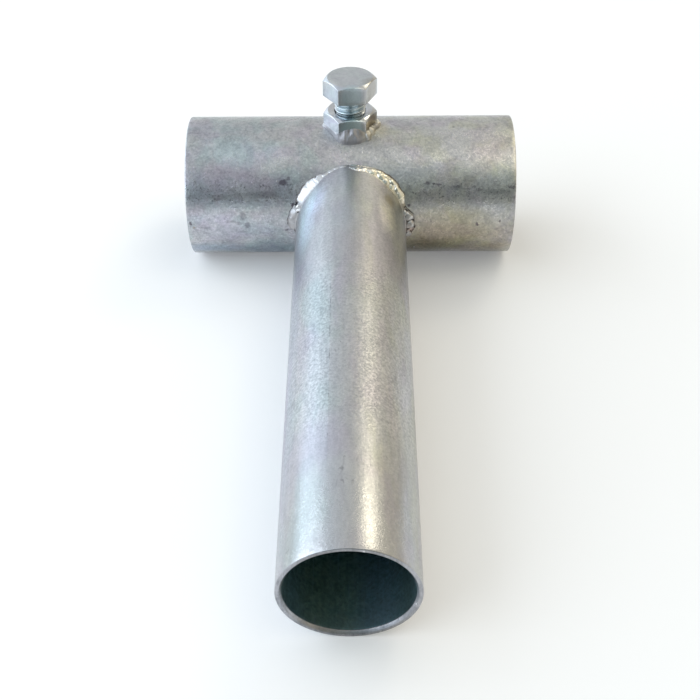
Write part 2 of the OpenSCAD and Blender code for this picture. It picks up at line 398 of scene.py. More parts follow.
    # a few small beads of spatter beside the weld
    for x, ang, r, sq in [(-3.6, 62, 0.40, 0.6), (-29.5, 38, 0.36, 0.6), (28.8, 31, 0.34, 0.6),
                          (-27, -22, 0.42, 0.6), (26.4, -30, 0.40, 0.6)]:
        e = math.radians(ang)
        nrm = [0, -math.cos(e), math.sin(e)]
        spot = np.array([x, nrm[1] * SLEEVE_R, nrm[2] * SLEEVE_R])
        bp, bf = blob((spot, nrm), r, sq)
        base = len(verts)
        verts = np.concatenate([verts, bp])
        faces += [[i + base for i in f] for f in bf]
        for k in layers:
            layers[k] = np.concatenate([layers[k], np.full(len(bp), 0.9 if k == "dull" else 0.0)])
    obj = build("spigot_weld_look", verts, faces, None, 75)
    for k, v in layers.items():
        point_value(obj, k, v)
    return obj


# ------------------------------------------------------------- nut and bolt
def hex_outline(corner_r, n_corner=6, n_flat=18):
    """Points round a hexagon whose corners are slightly rounded."""
    inner = AF / 2 - corner_r
    pts = []
    for k in range(6):
        a = TURN + math.radians(60 * k)
        c = np.array([math.cos(a), math.sin(a)]) * inner / math.cos(math.radians(30))
        turn = [c + corner_r * np.array([math.cos(a + w), math.sin(a + w)])
                for w in np.radians(np.linspace(-30, 30, n_corner + 1))]
        pts += turn
        b = TURN + math.radians(60 * (k + 1))
        c2 = np.array([math.cos(b), math.sin(b)]) * inner / math.cos(math.radians(30))
        w = b - math.radians(30)
        end = c2 + corner_r * np.array([math.cos(w), math.sin(w)])
        pts += [turn[-1] + (end - turn[-1]) * i / n_flat for i in range(1, n_flat)]
    return np.array(pts)


def level(outline, r, z):
    """A row of points in the outline's directions at radii r and heights z."""
    d = outline / np.linalg.norm(outline, axis=1)[:, None]
    r = np.broadcast_to(np.asarray(r, float), len(d))
    z = np.broadcast_to(np.asarray(z, float), len(d))
    return np.concatenate([d * r[:, None], z[:, None]], 1)


def hex_side(outline, f, z_lo, z_hi, cut_lo, cut_hi):
    """Rows down a hexagon's side, with its corners turned off at 30 degrees and edges softened."""
    r = np.linalg.norm(outline, axis=1)
    soft, bend = 0.30, 0.22
    rows = []
    tan30, cos30, sin30 = math.tan(math.radians(30)), math.cos(math.radians(30)), 0.5

    def top_rows():
        got = []
        if cut_hi:
            tl = bend * math.tan(math.radians(15))
            for i in range(4):
                w = math.radians(30 * i / 3)
                got.append(level(outline, f - tl + bend * math.sin(w), z_hi - bend * (1 - math.cos(w))))
            zc = z_hi - (r - f) * tan30
            tau = np.minimum(soft * math.tan(math.radians(30)), (r - f) * 0.35)
            rho = tau / math.tan(math.radians(30))
            cx = r - rho
            cz = zc - tau
            for i in range(5):
                w = math.radians(60 - 60 * i / 4)
                got.append(level(outline, cx + rho * np.cos(w), cz + rho * np.sin(w)))
        else:
            for i in range(5):
                w = math.radians(90 - 90 * i / 4)
                got.append(level(outline, r - soft + soft * math.cos(w), z_hi - soft + soft * math.sin(w)))
        return got

    rows += top_rows()
    upper = rows[-1]
    lower = []
    if cut_lo:
        zc = z_lo + (r - f) * tan30
        tau = np.minimum(soft * math.tan(math.radians(30)), (r - f) * 0.35)
        rho = tau / math.tan(math.radians(30))
        cx, cz = r - rho, zc + tau
        for i in range(5):
            w = math.radians(-60 * i / 4)
            lower.append(level(outline, cx + rho * np.cos(w), cz + rho * np.sin(w)))
        lower.append(level(outline, f, z_lo))
    else:
        for i in range(5):
            w = math.radians(-90 * i / 4)
            lower.append(level(outline, r - soft + soft * math.cos(w), z_lo + soft + soft * math.sin(w)))
    for u in (0.2, 0.4, 0.6, 0.8):
        rows.append(upper * (1 - u) + lower[0] * u)
    return rows + lower


def make_nut():
    outline = hex_outline(0.30)
    f = 0.95 * AF / 2
    rows = []
    for z in np.linspace(NUT_BASE + 0.35, NUT_TOP - 0.30, 9):
        rows.append(level(outline, NUT_BORE, z))
    for r, z in [(6.41, NUT_TOP - 0.14), (6.45, NUT_TOP - 0.06), (6.50, NUT_TOP - 0.02), (6.58, NUT_TOP),
                 (7.6, NUT_TOP), (8.3, NUT_TOP)]:
        rows.append(level(outline, r, z))
    rows += hex_side(outline, f, NUT_BASE, NUT_TOP, True, True)
    for r in (8.2, 7.4):
        rows.append(level(outline, r, NUT_BASE))
    rows.append(level(outline, 6.75, NUT_BASE))
    verts = np.concatenate(rows)
    obj = build("clamp_nut_look", lean(verts), ring_faces(len(rows), len(outline), True), None, 50)
    # painted shade: the nut's bore is darkened through "root"
    near = np.linalg.norm(verts[:, :2], axis=1)
    point_value(obj, "root", 1 - smooth(near, 6.42, 6.56))
    return obj


def make_bolt():
    outline = hex_outline(0.32)
    ang = np.arctan2(outline[:, 1], outline[:, 0])
    f = 0.95 * AF / 2
    # root: how much each row is painted dark, as shade in the thread's roots and under the head
    rows, root = [], []

    def add(row, value):
        rows.append(row)
        root.append(np.broadcast_to(np.asarray(value, float), len(outline)))

    for r in (1.2, 3.2, 5.2, 7.0, 8.2):
        dish = 0.05 * (1 - (r / 8.6) ** 2)
        add(level(outline, r, HEAD_TOP - dish), 0)
    for row in hex_side(outline, f, HEAD_BASE, HEAD_TOP, False, True):
        add(row, 0)
    add(level(outline, 8.6, HEAD_BASE), 0.1)
    add(level(outline, 7.2, HEAD_BASE), 0.3)
    # short fillet, then the thread runs out just under the head
    minor, major = 5.36, 6.36
    for r, z in [(6.45, HEAD_BASE), (6.12, HEAD_BASE - 0.10), (5.95, HEAD_BASE - 0.30)]:
        add(level(outline, r, z), 0.7)
    z_hi, z_lo = HEAD_BASE - 0.45, TIP
    for z in np.arange(z_hi, z_lo + 0.05, -PITCH / 22):
        u = np.mod(z / PITCH - ang / (2 * math.pi), 1.0)
        v = np.abs(2 * u - 1)
        h = smooth(v, 0.20, 0.90)
        h = 0.55 * h + 0.45 * np.clip((v - 0.25) / 0.625, 0, 1)
        fade = smooth(z_hi - z, 0.0, 0.5)
        neck = 5.90 * (1 - fade) + (minor + (major - minor) * h) * fade
        tip = 5.25 + (z - z_lo) * 1.05
        r = np.minimum(neck, tip)
        add(level(outline, r, z), (1 - h) * fade + 0.6 * (1 - fade))
    add(level(outline, 5.15, z_lo), 0.2)
    add(level(outline, 2.4, z_lo), 0.0)
    n = len(outline)
    verts = np.concatenate(rows)
    faces = ring_faces(len(rows), n, False)
    top, tip = len(verts), len(verts) + 1
    verts = np.concatenate([verts, [[0, 0, HEAD_TOP - 0.05], [0, 0, z_lo]]])
    faces += [[top, (j + 1) % n, j] for j in range(n)]
    foot = (len(rows) - 1) * n
    faces += [[tip, foot + j, foot + (j + 1) % n] for j in range(n)]
    obj = build("clamp_bolt_look", lean(verts), faces, None, 50)
    point_value(obj, "root", np.concatenate(root + [np.zeros(2)]))
    return obj


def hex_edge(a):
    k = np.mod(a - TURN, math.radians(60))
    return (AF / 2) / np.cos(k - math.radians(30))


def make_nut_weld():
    cols, steps = 720, 22
    a = np.linspace(0, 2 * math.pi, cols, endpoint=False)
    deg = np.degrees(a)
    leg = ring_curve([(0, 2.1), (30, 1.9), (60, 1.9), (90, 2.0), (120, 1.8), (150, 1.3), (180, 0.7), (200, 0.34),
                      (228, 0.34), (237, 0.7), (247, 1.5), (257, 2.1), (267, 2.4), (279, 2.4), (291, 2.0), (301, 1.6), (311, 2.3),
                      (319, 1.9), (328, 2.5), (337, 1.9), (347, 2.1)], deg)
    high = ring_curve([(0, 1.5), (20, 1.6), (60, 1.8), (90, 2.0), (150, 1.6), (180, 1.7), (200, 2.2), (228, 2.2),
                       (240, 1.8), (250, 2.6), (262, 3.3), (276, 3.5), (290, 3.3), (300, 2.2), (312, 1.8),
                       (330, 1.7), (345, 1.6)], deg)
    calm = ring_curve([(0, 1.0), (60, 0.8), (150, 0.6), (185, 0.2), (205, 0.06), (236, 0.08), (250, 0.90), (270, 1.10),
                       (290, 1.00), (303, 0.7), (320, 0.9), (345, 0.9)], deg)
    wob = np.stack([np.cos(a) * 10, np.sin(a) * 10, np.zeros_like(a)], -1)
    # the front mound flows evenly round the nut's corners
    even = ring_curve([(0, 0.0), (226, 0.0), (240, 1.0), (298, 1.0), (310, 0.0)], deg)
    leg = leg * (1 + 0.16 * (1 - 0.75 * even) * fractal(wob + [5, 1, 8], 0.45, 3))
    high = high * (1 + 0.14 * (1 - 0.5 * even) * fractal(wob + [1, 15, 28], 0.5, 3))
    e = np.stack([np.cos(a), np.sin(a), np.zeros_like(a)], -1)
    r0 = hex_edge(a)
    eased = np.mean([hex_edge(a + math.radians(k)) for k in range(-12, 13, 2)], 0)
    r1 = r0 + leg - even * np.clip(r0 - eased, -0.2, 0.5)
    up = np.array([0, 0, 1.0])
    low = np.sqrt(SLEEVE_R**2 - (r1 * np.sin(a)) ** 2) - 0.18
    toe1 = r1[:, None] * e + low[:, None] * up
    toe2 = (r0 - 0.28)[:, None] * e + (NUT_BASE + high)[:, None] * up
    out = e * 0.72 + up * 0.69
    s = np.linspace(0, 1, steps + 1)[:, None]
    win = np.sin(math.pi * s) ** 0.7
    flat = (r0[None, :, None] * e[None] + (s[..., None]) * 3.5 * up).reshape(-1, 3)
    lumps = fractal(flat + [2, 4, 9], 0.40, 3).reshape(steps + 1, cols)
    rough = fractal(flat + [12, 3, 1], 1.3, 2).reshape(steps + 1, cols)
    # soft overlapping drops, uneven in size
    draw = np.random.RandomState(7)
    beads = np.zeros((steps + 1, cols))
    at = 0.0
    while at < 2 * math.pi - 0.1:
        half = draw.uniform(0.20, 0.34)
        gap = (a - at + math.pi) % (2 * math.pi) - math.pi
        g = (gap[None] + 0.10 * (2 * s - 1 + draw.uniform(-0.3, 0.3)) ** 2) / half
        beads = np.maximum(beads, draw.uniform(0.6, 1.1) * np.sqrt(np.clip(1 - g**2, 0, 1)))
        at += half * draw.uniform(0.9, 1.35)
    size = np.minimum(leg, high)[None]
    # a few soft mounds: angle, place across, half width in degrees, half height, lift in mm
    mounds = np.zeros((steps + 1, cols))
    for at, place, wide, tall, up_mm in [
        (312, 0.46, 9, 0.50, 0.70), (328, 0.44, 9, 0.50, 0.75), (340, 0.46, 7, 0.44, 0.45),
        (351, 0.44, 8, 0.44, 0.45), (0, 0.46, 9, 0.44, 0.65), (14, 0.46, 9, 0.42, 0.55), (30, 0.46, 10, 0.42, 0.55),
        (48, 0.46, 10, 0.42, 0.50), (66, 0.46, 11, 0.42, 0.55), (85, 0.46, 11, 0.42, 0.55), (104, 0.46, 11, 0.42, 0.55),
        (123, 0.46, 10, 0.42, 0.50), (141, 0.46, 10, 0.40, 0.45), (160, 0.46, 10, 0.40, 0.35),
    ]:
        gap = (deg - at + 180) % 360 - 180
        mounds = np.maximum(mounds, up_mm * dome(gap[None] + 3.0 * (2 * s - 1) ** 2, s - place, wide, tall))
    # the broad front mound only swells gently
    swell = np.zeros((steps + 1, cols))
    for at, place, wide, tall, up_mm in [
        (256, 0.28, 8, 0.26, 0.26), (268, 0.48, 8, 0.24, 0.36), (277, 0.80, 6, 0.18, 0.22), (284, 0.32, 8, 0.24, 0.30),
        (296, 0.58, 8, 0.28, 0.36),
    ]:
        gap = (deg - at + 180) % 360 - 180
        swell += up_mm * np.exp(-((gap[None] / wide) ** 2) - ((s - place) / tall) ** 2)
    round_k = ring_curve([(0, 0.10), (232, 0.10), (248, 0.25), (298, 0.25), (310, 0.10)], deg)
    lift = size * round_k * 4 * s * (1 - s) + win * (
        mounds + swell - 0.12 * smooth(leg, 0.5, 1.2) + size * calm * (0.05 * (beads - 0.6) + 0.20 * lumps + 0.03 * rough))
    face = (1 - s[..., None]) * toe1[None] + s[..., None] * toe2[None] + lift[..., None] * out[None]
    rows = [
        (r0 - 1.0)[:, None] * e + (np.sqrt(SLEEVE_R**2 - (r0 * np.sin(a)) ** 2) - 0.9)[:, None] * up,
        r1[:, None] * e + (low - 0.6)[:, None] * up,
    ]
    rows += list(face)
    verts = np.concatenate(rows)
    obj = build("nut_weld_look", lean(verts), ring_faces(len(rows), cols, True), None, 75)
    dip = smooth(0.75 - beads, 0.0, 0.5)
    hollow = smooth(0.30 - np.maximum(mounds, 1.4 * swell), 0.0, 0.28) * smooth(leg, 0.5, 1.2) * smooth(win, 0.3, 0.7)
    edge = (1 - smooth(s, 0.04, 0.16)) * smooth(leg, 0.5, 1.2)
    # heat stains on the front mound; the two low along its toe (places 0.10 and 0.14) are painted shadow where it meets
    # the sleeve
    tint_and_painted_light = np.zeros((steps + 1, cols))
    for at, place, wide, tall, much in [
        (268, 0.82, 7, 0.16, 0.40), (293, 0.62, 6, 0.24, 0.40), (263, 0.14, 12, 0.14, 0.38), (247, 0.62, 5, 0.20, 0.34),
        (284, 0.10, 9, 0.10, 0.24),
    ]:
        gap = (deg - at + 180) % 360 - 180
        tint_and_painted_light += much * np.exp(-((gap[None] / wide) ** 2) - ((s - place) / tall) ** 2)
    # painted shade: dark in the hollows between the lumps and along the toe on the sleeve, with the stains added, and a
    # little in the dips
    groove = ring_curve([(0, 0.9), (90, 0.7), (180, 0.4), (220, 0.0), (240, 0.1), (256, 0.16), (286, 0.20), (300, 0.42),
                         (340, 0.42)], deg)
    # straw on the right side: partly heat tint, partly a painted tint of the warm lamp
    straw = ring_curve([(0, 0.8), (40, 0.3), (120, 0.1), (240, 0.0), (284, 0.05), (298, 0.5), (312, 0.85), (332, 0.85), (345, 0.7)], deg)
    dull = ring_curve([(0, 0.45), (60, 0.7), (150, 0.6), (185, 0.45), (205, 0.35), (232, 0.35), (241, 0.95), (256, 1.0),
                       (290, 1.0), (300, 0.85), (311, 0.76), (328, 0.76), (340, 0.95), (350, 0.95)], deg)
    dull = np.clip(dull + ring_curve([(0, 0.0), (180, 0.0), (200, 0.6), (236, 0.6), (248, 0.0), (300, 0.0)], deg) * (1 - smooth(s, 0.45, 0.65)), 0, 1)
    for key, value in (("crater", 0.2 * dip * hollow), ("trough", np.clip(groove * np.maximum(0.8 * hollow, 0.7 * edge) + tint_and_painted_light, 0, 1)),
                       ("straw", np.broadcast_to(np.clip(straw, 0, 1), dip.shape)),
                       ("dull", dull), ("scale", 0.15 * dip)):
        point_value(obj, key, np.concatenate([np.zeros(2 * cols), value.ravel()]))
    return obj


# ---------------------------------------------------------------- materials
class Look:
    """A node material built up step by step."""

    def __init__(self, name):
        self.mat = bpy.data.materials.new(name)
        self.mat.use_nodes = True
        self.nodes, self.links = self.mat.node_tree.nodes, self.mat.node_tree.links
        self.nodes.clear()
        self.out = self.nodes.new("ShaderNodeOutputMaterial")
        self.shader = self.nodes.new("ShaderNodeBsdfPrincipled")
        self.links.new(self.shader.outputs[0], self.out.inputs["Surface"])

    def put(self, socket, value):
        if isinstance(value, bpy.types.NodeSocket):
            self.links.new(value, socket)
        else:
            socket.default_value = value

    def set(self, **values):
        for key, value in values.items():
            self.put(self.shader.inputs[key.replace("_", " ")], value)

    def coords(self, scale=(1, 1, 1), shift=(0, 0, 0)):
        tc = self.nodes.new("ShaderNodeTexCoord")
        mp = self.nodes.new("ShaderNodeMapping")
        mp.inputs["Scale"].default_value = scale
        mp.inputs["Location"].default_value = shift
        self.links.new(tc.outputs["Object"], mp.inputs["Vector"])
        return mp.outputs[0]

    def noise(self, vector, scale, detail=4.0, rough=0.55, warp=0.0, colour=False):
        n = self.nodes.new("ShaderNodeTexNoise")
        self.links.new(vector, n.inputs["Vector"])
        n.inputs["Scale"].default_value = scale
        n.inputs["Detail"].default_value = detail
        n.inputs["Roughness"].default_value = rough
        n.inputs["Distortion"].default_value = warp
        return n.outputs[1 if colour else 0]

    def cells(self, vector, scale):
        n = self.nodes.new("ShaderNodeTexVoronoi")
        self.links.new(vector, n.inputs["Vector"])
        n.inputs["Scale"].default_value = scale
        sep = self.nodes.new("ShaderNodeSeparateColor")
        self.links.new(n.outputs["Color"], sep.inputs[0])
        return sep.outputs[0]

    def math(self, op, a, b=0.0, clamp=False):
        n = self.nodes.new("ShaderNodeMath")
        n.operation, n.use_clamp = op, clamp
        self.put(n.inputs[0], a)
        self.put(n.inputs[1], b)
        return n.outputs[0]

    def span(self, value, lo, hi, to_lo=0.0, to_hi=1.0, soft=True):
        n = self.nodes.new("ShaderNodeMapRange")
        n.interpolation_type = "SMOOTHSTEP" if soft else "LINEAR"
        self.put(n.inputs[0], value)
        for i, v in enumerate((lo, hi, to_lo, to_hi)):
            n.inputs[i + 1].default_value = v
        return n.outputs[0]

    def mix(self, factor, a, b, blend="MIX"):
        n = self.nodes.new("ShaderNodeMix")
        n.data_type, n.blend_type = "RGBA", blend
        self.put(n.inputs[0], factor)
        for socket, v in ((n.inputs[6], a), (n.inputs[7], b)):
            self.put(socket, v if isinstance(v, bpy.types.NodeSocket) else (*v, 1.0))
        return n.outputs[2]

    def spot(self, centre_mm, radii_mm, strength, inner=0.45, outer=1.15, ragged_mm=2.2):
        """A ragged-edged blotch round one place on the surface."""
        tc = self.nodes.new("ShaderNodeTexCoord")
        ragged = self.nodes.new("ShaderNodeVectorMath")
        ragged.operation = "MULTIPLY_ADD"
        self.links.new(self.noise(tc.outputs["Object"], 1980 / ragged_mm, 3, 0.6, 0.0, True), ragged.inputs[0])
        ragged.inputs[1].default_value = [ragged_mm * MM] * 3
        self.links.new(tc.outputs["Object"], ragged.inputs[2])
        mp = self.nodes.new("ShaderNodeMapping")
        mp.vector_type = "TEXTURE"
        mp.inputs["Location"].default_value = [(c + ragged_mm / 2) * MM for c in centre_mm]
        mp.inputs["Scale"].default_value = [r * MM for r in radii_mm]
        self.links.new(ragged.outputs[0], mp.inputs["Vector"])
        far = self.nodes.new("ShaderNodeVectorMath")
        far.operation = "LENGTH"
        self.links.new(mp.outputs[0], far.inputs[0])
        return self.span(far.outputs["Value"], inner, outer, strength, 0.0)

    def value(self, name):
        n = self.nodes.new("ShaderNodeAttribute")
        n.attribute_name = name
        return n.outputs["Fac"]

    def bump(self, height, distance, strength=1.0, normal=None):
        n = self.nodes.new("ShaderNodeBump")
        n.inputs["Strength"].default_value = strength
        n.inputs["Distance"].default_value = distance
        self.links.new(height, n.inputs["Height"])
        if normal is not None:
            self.links.new(normal, n.inputs["Normal"])
        return n.outputs[0]


def weighted(look, parts):
    """Sum of noise sockets, each shifted to about zero and weighted."""
    total = None
    for socket, weight in parts:
        term = look.math("MULTIPLY", look.math("SUBTRACT", socket, 0.5), weight)
        total = term if total is None else look.math("ADD", total, term)
    return total


def galvanised(name, axis, shift, drawn=0.3, stains_and_shade=(), washes=(), rough=(0.24, 0.38), polish=None, band=None,
               seam=False, stretch=1.0, weights=(0.45, 0.80, 0.35, 0.70, 0.25), hue=1.0, relief=0.00010):
    """Zinc-coated tube: cloudy patches, curling mottle, sandy grain and flecks, faint lines along its length."""
    m = Look(name)
    thin, soft = [1.0, 1.0, 1.0], [1.0, 1.0, 1.0]
    thin[axis], soft[axis] = 0.05, stretch
    cloud_k, mottle_k, curl_k, grain_k, fine_k = weights
    plain = m.coords(shift=shift)
    along = m.coords(scale=tuple(thin), shift=shift)
    patchy = m.coords(scale=tuple(soft), shift=shift)
    cloud = m.noise(patchy, 60, 4, 0.60, 0.6)
    mottle = m.noise(patchy, 250, 6, 0.70, 1.0)
    curl = m.noise(plain, 430, 5, 0.70, 2.2)
    grain = m.noise(plain, 1050, 3, 0.60)
    fine = m.noise(plain, 2600, 2, 0.6)
    lines = m.noise(along, 520, 5, 0.65)
    if seam:
        # sandiest along the middle of the tube, smoother towards both ends
        tc = m.nodes.new("ShaderNodeTexCoord")
        sep = m.nodes.new("ShaderNodeSeparateXYZ")
        m.links.new(tc.outputs["Object"], sep.inputs[0])
        zone = m.math("MULTIPLY", m.span(sep.outputs[1], -0.172, -0.148, 0.45, 1.1), m.span(sep.outputs[1], -0.070, -0.090, 0.55, 1.0))
        side = m.math("DIVIDE", sep.outputs[0], m.math("MAXIMUM", sep.outputs[2], 0.001))
        zone = m.math("MULTIPLY", zone, m.span(m.math("ABSOLUTE", m.math("ADD", side, 0.08)), 0.10, 0.34, 0.66, 1.20))
        grain = m.math("ADD", m.math("MULTIPLY", m.math("SUBTRACT", grain, 0.5), zone), 0.5)
    tone = weighted(m, [(cloud, cloud_k), (mottle, mottle_k), (curl, curl_k), (grain, grain_k), (fine, fine_k), (lines, drawn)])
    base = m.mix(m.span(tone, -0.33, 0.33), (0.33, 0.34, 0.355), (0.61, 0.615, 0.62))
    # faint lilac clouds of the passivated zinc, and clouds tinted teal on the left and straw on the right: partly the
    # zinc's own tint, partly a painted tint of the cool and warm lamps
    lilac = m.noise(m.coords(scale=tuple(soft), shift=(shift[1], shift[2], shift[0])), 85, 3, 0.55, 0.5)
    straw = m.noise(m.coords(scale=tuple(soft), shift=(shift[2], shift[0], shift[1])), 75, 3, 0.55, 0.5)
    base = m.mix(m.span(lilac, 0.42, 0.64, 0.0, 0.85 * hue), base, (0.95, 0.90, 0.97), "MULTIPLY")
    where = m.nodes.new("ShaderNodeSeparateXYZ")
    m.links.new(m.nodes.new("ShaderNodeTexCoord").outputs["Object"], where.inputs[0])
    tint_and_painted_light = m.mix(m.span(where.outputs[0], -0.018, 0.018), (0.90, 1.0, 0.985), (1.0, 1.0, 0.87))
    base = m.mix(m.span(straw, 0.45, 0.64, 0.0, 0.75 * hue), base, tint_and_painted_light, "MULTIPLY")
    # washes multiply a colour over ragged patches; on the tubes these are mostly painted light and shade
    for centre_mm, radii_mm, strength, colour in washes:
        base = m.mix(m.spot(centre_mm, radii_mm, strength, 0.15, 1.1, 4.0), base, colour, "MULTIPLY")
    # scattered darker flecks, pepper specks and dull patches
    fleck = m.span(m.noise(plain, 520, 4, 0.72, 0.8), 0.63, 0.73, 0.0, 0.5)
    base = m.mix(fleck, base, (0.17, 0.165, 0.18))
    patch = m.span(m.noise(patchy, 140, 5, 0.72, 1.2), 0.58, 0.72, 0.0, 0.32)
    base = m.mix(patch, base, (0.21, 0.205, 0.23))
    # a band along the sleeve at the height where the dark room in front is reflected: its base is painted paler, bluer
    # on the left and warmer on the right like the lamps, then darkened by mottled patches that are partly painted dark
    # reflection, and by dark pepper specks
    if band:
        tc = m.nodes.new("ShaderNodeTexCoord")
        sep = m.nodes.new("ShaderNodeSeparateXYZ")
        m.links.new(tc.outputs["Object"], sep.inputs[0])
        zone = m.math("MULTIPLY", m.span(sep.outputs[2], band[0] * MM, band[1] * MM), m.span(sep.outputs[2], band[2] * MM, band[3] * MM, 1.0, 0.0))
        band_mottle_and_shade = m.span(m.noise(patchy, 210, 6, 0.74, 1.6), 0.46, 0.64, 0.0, 0.42)
        pepper = m.span(m.noise(plain, 1150, 3, 0.60, 0.6), 0.58, 0.67, 0.0, 0.75)
        paler = m.mix(m.span(sep.outputs[0], -0.02, 0.02), (1.20, 1.20, 1.23), (1.09, 1.07, 1.02))
        base = m.mix(zone, base, paler, "MULTIPLY")
        base = m.mix(m.math("MULTIPLY", band_mottle_and_shade, zone), base, (0.17, 0.16, 0.175))
        base = m.mix(m.math("MULTIPLY", pepper, zone), base, (0.09, 0.09, 0.10))
    if seam:
        # the tube's own long seam: a paler strip on one side of a fine broken line
        tc = m.nodes.new("ShaderNodeTexCoord")
        sep = m.nodes.new("ShaderNodeSeparateXYZ")
        m.links.new(tc.outputs["Object"], sep.inputs[0])
        slope = m.math("DIVIDE", sep.outputs[0], m.math("MAXIMUM", sep.outputs[2], 0.001))
        strip = m.math("MULTIPLY", m.span(slope, -0.325, -0.305, 1.0, 0.0), m.span(slope, -0.95, -0.60))
        strip = m.math("MULTIPLY", strip, m.span(sep.outputs[1], -0.075, -0.090))
        strip = m.math("MULTIPLY", strip, m.span(sep.outputs[1], -0.190, -0.165))
        base = m.mix(m.math("MULTIPLY", strip, 0.9), base, (1.0, 1.035, 1.05), "MULTIPLY")
        line = m.span(m.math("ABSOLUTE", m.math("ADD", slope, 0.318)), 0.004, 0.014, 1.0, 0.0)
        dash = m.span(m.noise(m.coords(scale=(0.2, 1.0, 0.2)), 190, 4, 0.7), 0.50, 0.60)
        line = m.math("MULTIPLY", m.math("MULTIPLY", line, dash), m.span(sep.outputs[1], -0.172, -0.160, 0.0, 0.55))
        line = m.math("MULTIPLY", line, m.span(sep.outputs[1], -0.084, -0.094))
        base = m.mix(line, base, (0.15, 0.155, 0.165))
    # dark marks: stains, and painted shade beside the weld
    for centre_mm, radii_mm, strength, colour in stains_and_shade:
        base = m.mix(m.spot(centre_mm, radii_mm, strength), base, colour)
    gloss = m.span(tone, -0.36, 0.36, rough[1], rough[0])
    if polish:
        # the far end is burnished by sliding in and out of a pole
        tc = m.nodes.new("ShaderNodeTexCoord")
        sep = m.nodes.new("ShaderNodeSeparateXYZ")
        m.links.new(tc.outputs["Object"], sep.inputs[0])
        gloss = m.math("ADD", gloss, m.span(sep.outputs[axis], polish[0] * MM, polish[1] * MM, 0.0, polish[2]))
    m.set(Metallic=1.0, Base_Color=base, Roughness=gloss)
    height = weighted(m, [(mottle, 0.85 * mottle_k), (curl, curl_k), (grain, 1.35 * grain_k), (fine, fine_k), (lines, 0.5 * drawn)])
    m.set(Normal=m.bump(height, relief, 0.95))
    return m.mat


def bore_skin(name, axis, shift, low, high, scored, washes=()):
    """The inside of a tube: dull zinc with long drawn scratches."""
    m = Look(name)
    thin = [1.0, 1.0, 1.0]
    thin[axis] = 0.03
    plain, along = m.coords(shift=shift), m.coords(scale=tuple(thin), shift=shift)
    mottle = m.noise(plain, 160, 5, 0.66, 0.8)
    grain = m.noise(plain, 800, 3, 0.6)
    lines = m.noise(along, 700, 5, 0.7)
    tone = weighted(m, [(mottle, 1.1), (grain, 0.5), (lines, 0.35)])
    base = m.mix(m.span(tone, -0.33, 0.33), low, high)
    # washes multiply a colour over patches; inside the spigot they are painted light
    for centre_mm, radii_mm, strength, colour in washes:
        base = m.mix(m.spot(centre_mm, radii_mm, strength, 0.1, 1.1, 4.0), base, colour, "MULTIPLY")
    scratch = m.span(m.noise(along, 1500, 3, 0.6), 0.62, 0.70, 0.0, 0.5)
    base = m.mix(scratch, base, scored)
    m.set(Metallic=1.0, Base_Color=base, Roughness=m.span(tone, -0.36, 0.36, 0.46, 0.32))
    m.set(Normal=m.bump(weighted(m, [(mottle, 0.5), (grain, 0.5), (lines, 0.6)]), 0.00008, 0.8))
    return m.mat


def cut_edge(name, shift):
    """Sawn and deburred tube end: darker, with fine saw lines and bright nicks, and painted lighter on its sides and
    top than at its bottom.
    """
    m = Look(name)
    plain = m.coords(shift=shift)
    mottle = m.noise(plain, 320, 5, 0.66, 0.6)
    saw = m.noise(m.coords(scale=(1.0, 1.0, 0.12), shift=shift), 1700, 4, 0.65)
    tone = weighted(m, [(mottle, 0.7), (saw, 0.6)])
    base = m.mix(m.span(tone, -0.3, 0.3), (0.16, 0.165, 0.175), (0.36, 0.36, 0.37))
    nick = m.span(m.noise(plain, 420, 3, 0.6), 0.64, 0.72, 0.0, 0.9)
    base = m.mix(nick, base, (0.86, 0.86, 0.86))
    where = m.nodes.new("ShaderNodeSeparateXYZ")
    m.links.new(m.nodes.new("ShaderNodeTexCoord").outputs["Object"], where.inputs[0])
    # painted light: the rim's sides are painted much lighter, its top a little, its bottom not at all
    painted_light_on_sides = m.math("MULTIPLY", m.span(where.outputs[2], -0.018, -0.008), m.span(where.outputs[2], 0.012, 0.019, 1.0, 0.35))
    base = m.mix(painted_light_on_sides, base, (1.55, 1.56, 1.62), "MULTIPLY")
    m.set(Metallic=1.0, Base_Color=base, Roughness=m.span(tone, -0.3, 0.3, 0.40, 0.24))
    m.set(Normal=m.bump(weighted(m, [(mottle, 0.7), (saw, 0.5)]), 0.00012, 0.9))
    return m.mat


